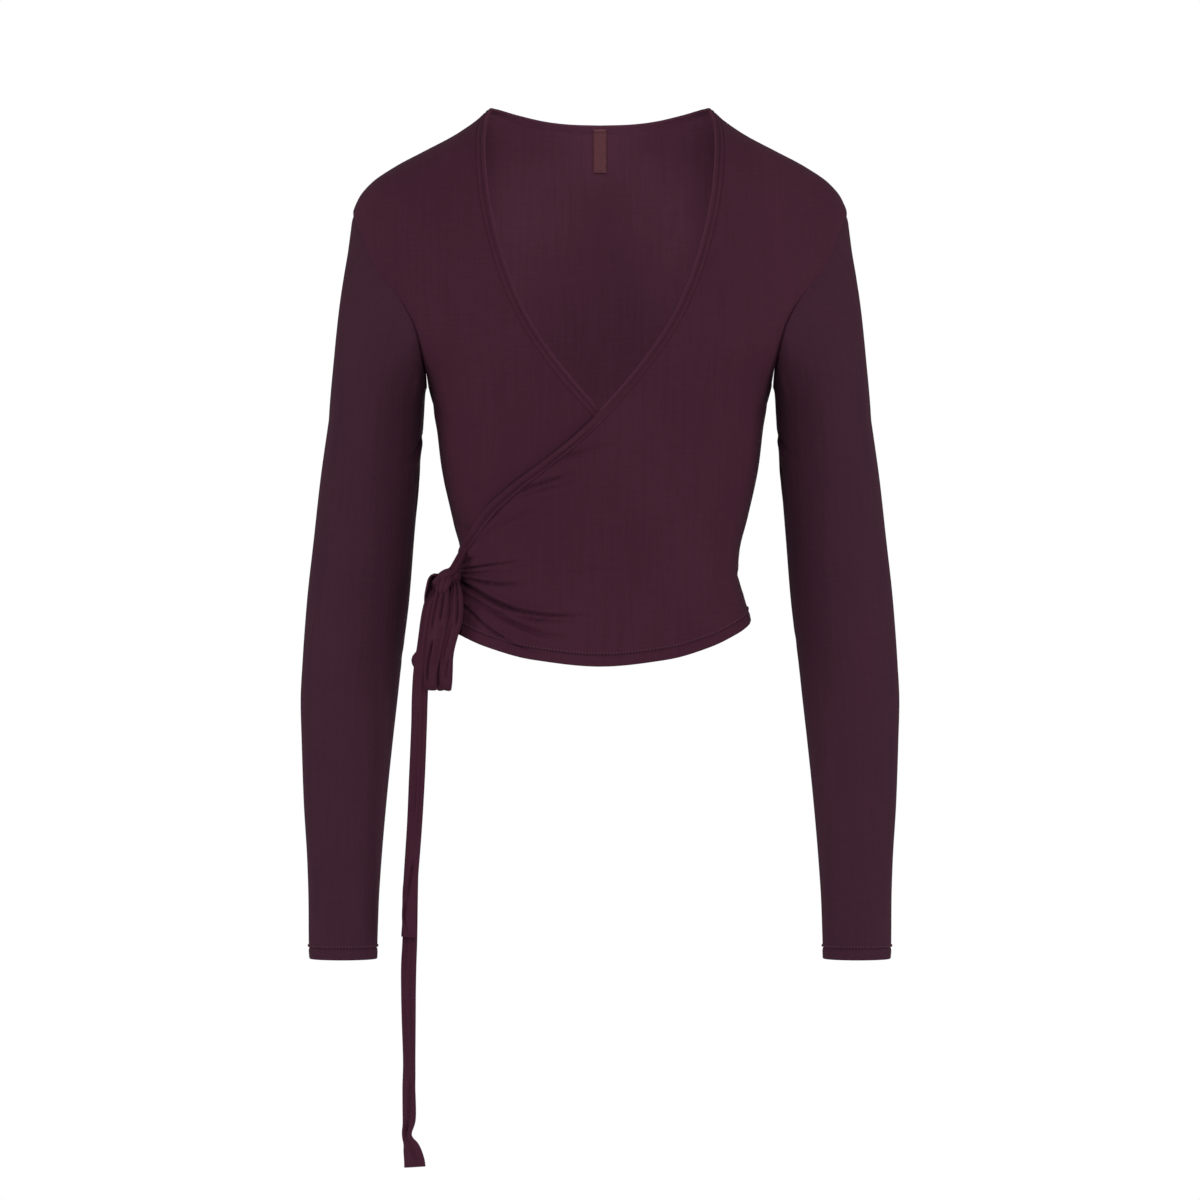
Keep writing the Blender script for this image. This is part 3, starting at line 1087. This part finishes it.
def make_sleeve(name, side, creases, finishes):
    """One sleeve with the tracks of its stitches, on the wearer's left where side is 1."""
    angles = sleeve_angles()
    middle, normal = sleeve_middle(angles)
    count, sides = middle.shape[:2]
    round_it = np.broadcast_to(angles * SLEEVE_TURN_SCALE, (count, sides))
    place = np.stack([round_it, middle[..., 2]], -1).reshape(-1, 2)
    lines = [crease_line(rows, SLEEVE_TURN_SCALE) for rows in creases]
    relief = crease_relief(lines, place).reshape(count, sides, 1)
    below = SLEEVE_TOP + CREASES_FROM - middle[..., 2:]
    relief *= ease(below / (CREASES_FROM - CREASES_FULL))
    seam = bell((angles - 180) / UNDERARM_REACH)[None, :, None]
    middle = middle + normal * (relief - UNDERARM_SEAM * seam)
    up = middle[..., 2:] - CUFF
    half = hem_half(up)
    outer = (middle + normal * (half - stitch_sink(up))) * (side, 1, 1)
    inner = (middle - normal * half) * (side, 1, 1)
    total = count * sides
    walls, ends = [], []
    for ring in range(0, total, sides):
        for k in range(sides):
            a, b = ring + k, ring + (k + 1) % sides
            if ring == 0:
                ends.append((b, a, a + total, b + total))
            if ring == total - sides:
                ends.append((a, b, b + total, a + total))
                continue
            walls.append((a, b, b + sides, a + sides))
            walls.append((a + sides + total, b + sides + total, b + total, a + total))
    slots = [*[OUTSIDE, INSIDE] * (len(walls) // 2), *[OUTSIDE] * len(ends)]
    points = np.vstack([outer.reshape(-1, 3), inner.reshape(-1, 3)])
    flat = sleeve_places(middle, angles)
    piece = add_cloth(name, points, walls + ends, np.tile(flat, (2, 1)), finishes, slots)
    tracks = []
    for row, _, _, across in HEM_STITCH_ROWS:
        ring = int(np.abs(up[:, 0, 0] - row).argmin())
        closed = [*range(sides), 0]
        at, facing = outer[ring, closed], normal[ring, closed] * (side, 1, 1)
        tracks.append((at, facing, PLAIN_THREAD if across else DITCH_THREAD, across))
    return piece, tracks


# ---------------------------------------------------------------- stitches


def stitch_bead():
    """The corners and faces of a round bead a millimetre in radius."""
    bpy.ops.object.select_all(action="DESELECT")
    bpy.ops.mesh.primitive_uv_sphere_add(segments=6, ring_count=4, radius=1.0)
    bead = bpy.context.object
    corners = np.array([corner.co for corner in bead.data.vertices])
    faces = [tuple(face.vertices) for face in bead.data.polygons]
    bpy.data.objects.remove(bead, do_unlink=True)
    return corners, faces


def sew(name, tracks, threads):
    """A row of stitches on each track of (points, the way they face, thread, whether across)."""
    bead, bead_faces = stitch_bead()
    points, faces, slots = [], [], []
    for at, facing, thread, across in tracks:
        shape = bead * (STITCH_ACROSS if across else STITCH_ALONG)
        run = running_length(at)
        stops = np.arange(STITCH_SPACING / 2, run[-1], STITCH_SPACING)
        middle, normal = read_off(at, run, stops), unit(read_off(facing, run, stops))
        along = unit(read_off(at, run, stops + 0.5) - middle + 1e-9)
        side = np.cross(normal, along)
        for m, *axes in zip(middle, along, side, normal):
            count = len(points) * len(shape)
            points.append(m + shape @ np.array(axes))
            faces += [tuple(k + count for k in face) for face in bead_faces]
            slots += [thread] * len(bead_faces)
    points = np.vstack(points)
    return add_cloth(name, points, faces, points[:, [0, 2]] * MM, threads, slots)


def hem_tracks(surface, start, end):
    tracks = []
    for row, sink, _, across in HEM_STITCH_ROWS:
        path = hem_path(start + HEM_STITCH_ENDS, end - HEM_STITCH_ENDS, 300, row)
        turn, z = path.T
        normal = outward(surface, turn, z)
        at = surface(turn, z) + normal * (HEM_CLOTH / 2 - sink)
        tracks.append((at, normal, PLAIN_THREAD if across else DITCH_THREAD, across))
    return tracks


# ---------------------------------------------------------------- the bow


def strip_relief(creases, share, run, width):
    bank_height, bank_place, bank_width = CREASE_BANK
    relief = 0 * share
    for start, start_share, end, end_share, depth, reach in creases:
        along = (run - start) / (end - start)
        at = start_share + (end_share - start_share) * along
        fade = ease(along / CREASE_COMES) * ease((1 - along) / CREASE_GOES)
        away = (share - at) * width / reach
        bank = bank_height * bell((np.abs(away) - bank_place) / bank_width)
        relief = relief + depth * fade * (bank - bell(away))
    return relief


def round_edges(share, squareness):
    """How thick a tape is at each share of its width, from -0.5 to 0.5."""
    return (1 - np.abs(2 * share) ** squareness) ** 0.4


def round_tape(middle, half, normal, flat):
    """The rings round a tape and their places on the flat: its face, then back behind it."""
    rings = [middle + normal * half[..., None], middle - normal * half[..., None]]
    return (
        np.concatenate([rings[0], rings[1][:, -2:0:-1]], 1),
        np.concatenate([flat, flat[:, -2:0:-1]], 1) * MM,
    )


def add_strip(name, rows, creases, jersey, level=True, soft_end=False):
    """A turned strip of cloth.

    It stays level across, or keeps its face to the side that it faces.
    """
    points = through(rows, 10)
    run = running_length(points)
    stops = stops_along(run, STRIP_STEP)
    points = read_off(points, run, stops)
    width, facing, curl = points[:, 3, None], np.radians(points[:, 4]), points[:, 5, None]
    along = unit(np.gradient(points[:, :3], axis=0))
    if level:
        across = np.stack([np.cos(facing), np.sin(facing), 0 * facing], 1)
        across = unit(across - along * (across * along).sum(1, keepdims=True))
        normal = np.cross(along, across)
    else:
        normal = np.stack([np.sin(facing), -np.cos(facing), 0 * facing], 1)
        normal = unit(normal - along * (normal * along).sum(1, keepdims=True))
        across = np.cross(normal, along)
    share = np.sin(np.linspace(-0.5, 0.5, STRIP_SIDES) * math.pi)[None, :] * 0.5
    lift = STRIP_BELLY * curl * (1 - np.abs(2 * share) ** 3)
    lift = lift + strip_relief(creases, share, stops[:, None], width)
    half = TIE_CLOTH / 2 * round_edges(share, STRIP_SQUARENESS) + 0 * width
    if soft_end:
        half[-2:] *= np.array(STRIP_ENDS)[:, None]
    normal = normal[:, None]
    middle = points[:, None, :3] + across[:, None] * (share * width)[..., None]
    middle = middle + normal * lift[..., None]
    flat = np.stack([share * width, -stops[:, None] + 0 * share * width], -1)
    return add_tube(name, *round_tape(middle, half, normal, flat), [jersey])


def knot_core():
    """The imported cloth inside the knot: rings round its long way, with gathers."""
    facing, tilt = math.radians(KNOT_FACING), math.radians(KNOT_TILT)
    level = np.array([math.cos(facing), math.sin(facing), 0.0])
    out = np.array([math.sin(facing), -math.cos(facing), 0.0])
    along = level * math.cos(tilt) + np.array([0, 0, 1]) * math.sin(tilt)
    axes = np.array([along, out, np.cross(along, out)]) * np.array(KNOT_HALF)[:, None]
    polar = np.linspace(KNOT_ENDS, math.pi - KNOT_ENDS, KNOT_RINGS)[:, None]
    angle = np.linspace(0, 2 * math.pi, KNOT_SIDES, endpoint=False)[None, :]
    gathers, height, twist = KNOT_GATHERS
    swell = 1 + height * np.cos(gathers * angle + twist * polar) * np.sin(polar) ** 2
    shape = [
        np.cos(polar) + 0 * angle,
        np.sin(polar) * np.cos(angle) * swell,
        np.sin(polar) * np.sin(angle) * swell,
    ]
    rings = np.array(KNOT_MIDDLE) + np.stack(shape, -1) @ axes
    flat = np.stack([angle + 0 * polar, polar + 0 * angle], -1)
    return rings, flat * KNOT_FLAT


def make_knot(jersey):
    parts = [
        add_tube("knot_core", *knot_core(), [jersey]),
        add_strip("knot_wrap", KNOT_WRAP, KNOT_WRAP_CREASES, jersey),
        add_strip("knot_top", KNOT_TOP, KNOT_TOP_CREASES, jersey, level=False),
        add_strip("knot_side", KNOT_SIDE, (), jersey),
    ]
    bpy.ops.object.select_all(action="DESELECT")
    for part in parts:
        part.select_set(True)
    bpy.context.view_layer.objects.active = parts[0]
    bpy.ops.object.join()
    parts[0].name = "bow_knot_cloth"
    return parts[0]


# ---------------------------------------------------------------- the label


def make_label(satin):
    """A short woven tape inside the back neck, its top edge folded under."""
    z = np.linspace(LABEL_TOP, LABEL_BOTTOM, LABEL_RINGS)[:, None]
    share = np.linspace(-0.5, 0.5, LABEL_SIDES)[None, :]
    turn = 180 - turn_at(share * LABEL_WIDTH, z)
    z = z + 0 * turn
    down = (LABEL_TOP - z) / (LABEL_TOP - LABEL_BOTTOM)
    fold_depth, fold_edge, fold_wall = LABEL_FOLD
    folded = fold_wall * (1 - ease((LABEL_TOP - z - fold_depth) / fold_edge))
    lift_from, lift = LABEL_LIFT
    lift = lift * ease((down - lift_from) / (1 - lift_from)) * (0.5 + share) ** 2
    half = LABEL_WALL / 2 * round_edges(share, LABEL_SQUARENESS) + folded / 2
    half[[0, -1]] *= np.array(LABEL_ENDS)[:, None]
    inward = -outward(form, turn, z)
    stand = LABEL_CLEARANCE + lift + folded + LABEL_WALL / 2
    middle = form(turn, z) + inward * stand[..., None]
    flat = np.stack([share * LABEL_WIDTH + 0 * z, z], -1)
    return add_tube("label_tape", *round_tape(middle, half, inward, flat), [satin])


# ---------------------------------------------------------------- finishes

JERSEY_COLOURS = ((0.0405, 0.0112, 0.0212), (0.0447, 0.0124, 0.0236))
THREAD_COLOURS = ((0.062, 0.022, 0.036), (0.076, 0.028, 0.045))
SATIN_COLOURS = ((0.146, 0.049, 0.062), (0.168, 0.057, 0.072))
SATIN_COLOUR = (0.155, 0.052, 0.066)
FLOOR_COLOURS = ((0.83, 0.83, 0.83), (0.87, 0.87, 0.87))
FLOOR_COLOUR = (0.85, 0.85, 0.85)
SHEEN_TINT = (0.75, 0.45, 0.62, 1.0)
PATCH_TONES = ((0.93, 0.93, 0.95), (1.06, 1.05, 1.04))
SLUB_TONES = ((0.96, 0.96, 0.96), (1.04, 1.04, 1.04))
# How fine each pattern is across and along a metre of the flat cloth
RIBS, CRINKLES, SOFT_FOLDS = (262, 60), (300, 15), (120, 9)
PATCHES, SLUBS = (9, 7), (60, 420)
TWIST, SATIN_WEAVE, SATIN_CLOUDS = (900, 900), (300, 480), (160, 160)
# How much lighter than the jersey's outside, or darker, by red, green and blue
INSIDE_LIGHT = (2.55, 3.0, 2.75)  # its wrong side
FOLD_LIGHT = (1.4, 1.45, 1.4)  # the folded edge round the neck
PRESSED_LIGHT = 0.55  # and where that is pressed on the under front
SLEEVE_LIGHT = (0.88, 1.06, 0.98)  # the sleeves, which are a little greyer
DITCH_LIGHT = 0.35  # threads that lie deep in a groove, beside plain thread


class Finish:
    """A procedural material, with short ways to add the nodes that these finishes use."""

    def __init__(self, name, colour, roughness):
        self.material = bpy.data.materials.new(name)
        self.material.use_nodes = True
        self.nodes, self.links = self.material.node_tree.nodes, self.material.node_tree.links
        self.shader = self.nodes["Principled BSDF"]
        plain = {"Base Color": (*colour, 1.0), "Roughness": roughness, "Metallic": 0.0}
        self.give(self.shader, plain)

    def give(self, node, inputs):
        """Sets a node's inputs to numbers and colours, or joins them to other outputs."""
        for name, value in inputs.items():
            if isinstance(value, bpy.types.NodeSocket):
                self.links.new(value, node.inputs[name])
            else:
                node.inputs[name].default_value = value

    def node(self, kind, inputs):
        node = self.nodes.new("ShaderNode" + kind)
        self.give(node, inputs)
        return node

    def on_cloth(self, across, along):
        """The flat cloth's own coordinates, stretched."""
        flat = self.node("UVMap", {})
        flat.uv_map = "cloth"
        scale = {"Vector": flat.outputs["UV"], "Scale": (across, along, 1.0)}
        return self.node("Mapping", scale).outputs["Vector"]

    def noise(self, vector, detail, roughness=0.5):
        inputs = {"Vector": vector, "Scale": 1.0, "Detail": detail, "Roughness": roughness}
        return self.node("TexNoise", inputs).outputs["Fac"]

    def ribs(self, vector, direction, distortion, detail):
        inputs = {"Vector": vector, "Scale": 1.0, "Distortion": distortion, "Detail": detail}
        ribs = self.node("TexWave", inputs)
        ribs.bands_direction = direction
        return ribs.outputs["Fac"]

    def between(self, fac, dark, pale):
        """From a dark to a pale colour as fac goes from 0.3 to 0.7."""
        ramp = self.node("ValToRGB", {"Fac": fac})
        for element, place, colour in zip(ramp.color_ramp.elements, (0.3, 0.7), (dark, pale)):
            element.position = place
            element.color = (*colour, 1.0)
        return ramp.outputs["Color"]

    def times(self, first, second):
        mix = self.nodes.new("ShaderNodeMix")
        mix.data_type = "RGBA"
        mix.blend_type = "MULTIPLY"
        self.give(mix, {0: 1.0, 6: first, 7: second})
        return mix.outputs[2]

    def bump(self, height, strength, distance, before=None):
        inputs = {"Height": height, "Strength": strength, "Distance": distance}
        if before is not None:
            inputs["Normal"] = before
        return self.node("Bump", inputs).outputs["Normal"]


def lit(colours, light):
    return [tuple(np.multiply(light, colour).tolist()) for colour in colours]


def jersey_finish(name, light):
    """Fine matte jersey: upright ribs a millimetre apart, dry crinkles and faint slubs."""
    dark, pale = lit(JERSEY_COLOURS, light)
    jersey = Finish(name, pale, 0.85)
    crinkle = jersey.noise(jersey.on_cloth(*CRINKLES), detail=3.0, roughness=0.6)
    patch = jersey.noise(jersey.on_cloth(*PATCHES), detail=2.0)
    slub = jersey.noise(jersey.on_cloth(*SLUBS), detail=2.0, roughness=0.6)
    tone, fleck = jersey.between(patch, *PATCH_TONES), jersey.between(slub, *SLUB_TONES)
    colour = jersey.times(jersey.times(jersey.between(crinkle, dark, pale), tone), fleck)
    fold = jersey.noise(jersey.on_cloth(*SOFT_FOLDS), detail=2.0, roughness=0.55)
    rib = jersey.ribs(jersey.on_cloth(*RIBS), "X", distortion=0.6, detail=1.0)
    normal = jersey.bump(fold, strength=0.5, distance=0.0008)
    normal = jersey.bump(crinkle, strength=0.6, distance=0.0005, before=normal)
    normal = jersey.bump(rib, strength=0.35, distance=0.0002, before=normal)
    looks = {"Base Color": colour, "Normal": normal, "Specular IOR Level": 0.04}
    sheen = {"Sheen Weight": 0.02, "Sheen Roughness": 0.5, "Sheen Tint": SHEEN_TINT}
    jersey.give(jersey.shader, {**looks, **sheen})
    return jersey.material


def thread_finish(name, light):
    dark, pale = lit(THREAD_COLOURS, light)
    thread = Finish(name, pale, 0.7)
    twist = thread.noise(thread.on_cloth(*TWIST), detail=2.0)
    colour = thread.between(twist, dark, pale)
    normal = thread.bump(twist, strength=0.4, distance=0.0001)
    looks = {"Base Color": colour, "Normal": normal, "Specular IOR Level": 0.1}
    thread.give(thread.shader, looks)
    return thread.material


def satin_finish():
    """Woven satin tape: fine ribs across it and a soft gloss."""
    satin = Finish("label_satin_tape", SATIN_COLOUR, 0.5)
    weave = satin.ribs(satin.on_cloth(*SATIN_WEAVE), "Y", distortion=0.4, detail=2.0)
    cloud = satin.noise(satin.on_cloth(*SATIN_CLOUDS), detail=3.0)
    colour = satin.between(cloud, *SATIN_COLOURS)
    normal = satin.bump(weave, strength=0.4, distance=0.00015)
    looks = {"Base Color": colour, "Normal": normal, "Specular IOR Level": 0.2}
    satin.give(satin.shader, looks)
    return satin.material


def floor_finish():
    floor = Finish("pale_floor", FLOOR_COLOUR, 0.7)
    cloud = floor.noise(floor.node("TexCoord", {}).outputs["Object"], detail=3.0)
    floor.give(floor.shader, {"Base Color": floor.between(cloud, *FLOOR_COLOURS)})
    return floor.material


# ---------------------------------------------------------------- floor, light and camera

VIEW_DISTANCE = 5.0
VIEW_HEIGHT = -0.4026
VIEW_WIDTH = 0.984  # how wide the view is at the middle of the top
SENSOR_WIDTH = 36.0
FLOOR_LEVEL = -1.05
FLOOR_RADIUS = 1.2
SKY_LIGHT = 0.45  # the white round the top lights it this much
WHITE = (1.0, 1.0, 1.0, 1.0)
LAMPS_AIM = Vector((0, 0, -0.35))
# Each lamp's name, place, size and power
LAMPS = (
    ("soft_front", (0.2, -4.8, 1.6), 1.6, 80.0),
    ("soft_front_left", (-2.9, -3.9, 0.2), 1.4, 40.0),
    ("soft_front_right", (2.9, -3.9, 0.2), 1.4, 40.0),
    ("soft_left", (-3.5, -0.9, 0.0), 1.6, 44.0),
    ("soft_right", (3.5, -0.9, 0.0), 1.6, 48.0),
    ("soft_back", (0.5, 4.6, -0.2), 1.6, 34.0),
)


def make_floor():
    bpy.ops.object.select_all(action="DESELECT")
    bpy.ops.mesh.primitive_circle_add(
        vertices=96, radius=FLOOR_RADIUS, fill_type="NGON", location=(0, 0, FLOOR_LEVEL)
    )
    floor = bpy.context.object
    floor.name = "floor"
    floor.data.materials.append(floor_finish())
    bpy.ops.object.transform_apply(location=True, rotation=True, scale=True)


def make_sky():
    """White all round, which lights the top less than it shows."""
    bpy.context.scene.view_settings.view_transform = "Standard"
    world = bpy.data.worlds.new("studio")
    bpy.context.scene.world = world
    world.use_nodes = True
    nodes, links = world.node_tree.nodes, world.node_tree.links
    backdrop, sky = nodes["Background"], nodes.new("ShaderNodeBackground")
    backdrop.inputs["Color"].default_value = WHITE
    sky.inputs["Color"].default_value = WHITE
    sky.inputs["Strength"].default_value = SKY_LIGHT
    seen, mix = nodes.new("ShaderNodeLightPath"), nodes.new("ShaderNodeMixShader")
    links.new(seen.outputs["Is Camera Ray"], mix.inputs["Fac"])
    links.new(sky.outputs["Background"], mix.inputs[1])
    links.new(backdrop.outputs["Background"], mix.inputs[2])
    links.new(mix.outputs["Shader"], nodes["World Output"].inputs["Surface"])


def make_lamps_and_camera():
    for name, place, size, power in LAMPS:
        lamp = bpy.data.lights.new(name, "AREA")
        lamp.size = size
        lamp.energy = power
        light = bpy.data.objects.new(name, lamp)
        light.location = place
        light.rotation_euler = (LAMPS_AIM - Vector(place)).to_track_quat("-Z", "Y").to_euler()
        bpy.context.scene.collection.objects.link(light)
    lens = bpy.data.cameras.new("camera")
    lens.sensor_width = SENSOR_WIDTH
    lens.lens = SENSOR_WIDTH * VIEW_DISTANCE / VIEW_WIDTH
    lens.clip_end = 50.0
    camera = bpy.data.objects.new("camera", lens)
    camera.location = (0.0, -VIEW_DISTANCE, VIEW_HEIGHT)
    camera.rotation_euler = (math.pi / 2, 0.0, 0.0)
    bpy.context.scene.collection.objects.link(camera)
    bpy.context.scene.camera = camera


# ---------------------------------------------------------------- everything


def declare(piece, node, *stitches):
    """The cloth's slot, the solid it stands for and the size it was cut to."""
    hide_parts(node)


def main():
    make_floor()
    make_sky()
    make_lamps_and_camera()
    jersey = jersey_finish("wine_jersey", 1.0)
    wrong_side = jersey_finish("wine_jersey_inside", INSIDE_LIGHT)
    fold = jersey_finish("wine_jersey_fold", FOLD_LIGHT)
    pressed = jersey_finish("wine_jersey_shade", PRESSED_LIGHT)
    sleeve = jersey_finish("wine_jersey_sleeve", SLEEVE_LIGHT)
    threads = (
        thread_finish("wine_thread", 1.0),
        thread_finish("wine_thread_in_a_ditch", DITCH_LIGHT),
    )
    over, under, back = make_panels((jersey, wrong_side))
    binding, neck_tracks = make_binding((jersey, wrong_side, fold, pressed))
    left, left_tracks = make_sleeve(
        "sleeve_left_cloth", 1, SLEEVE_CREASES_LEFT, (sleeve, wrong_side)
    )
    right, right_tracks = make_sleeve(
        "sleeve_right_cloth", -1, SLEEVE_CREASES_RIGHT, (sleeve, wrong_side)
    )
    knot = make_knot(jersey)
    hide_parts("bow_knot")
    for piece, node, tracks in (
        (over, "front_over", hem_tracks(OVER, OVER_END_TURN, 90)),
        (under, "front_under", hem_tracks(UNDER, -90, 90)),
        (back, "back", hem_tracks(BACK, 90, 270)),
        (binding, "neck_binding", neck_tracks),
        (left, "sleeve_left", left_tracks),
        (right, "sleeve_right", right_tracks),
    ):
        rows = sew(node + "_stitches", tracks, threads)
        declare(piece, node, rows)
    for node, rows, creases, end in (
        ("bow_loop_right", LOOP_RIGHT, LOOP_RIGHT_CREASES, False),
        ("bow_loop_left", LOOP_LEFT, LOOP_LEFT_CREASES, False),
        ("tie_end_short", TAIL_SHORT, TAIL_SHORT_CREASES, True),
        ("tie_end_long", TAIL_LONG, TAIL_LONG_CREASES, True),
    ):
        declare(add_strip(node + "_cloth", rows, creases, jersey, soft_end=end), node)
    declare(make_label(satin_finish()), "label")


main()
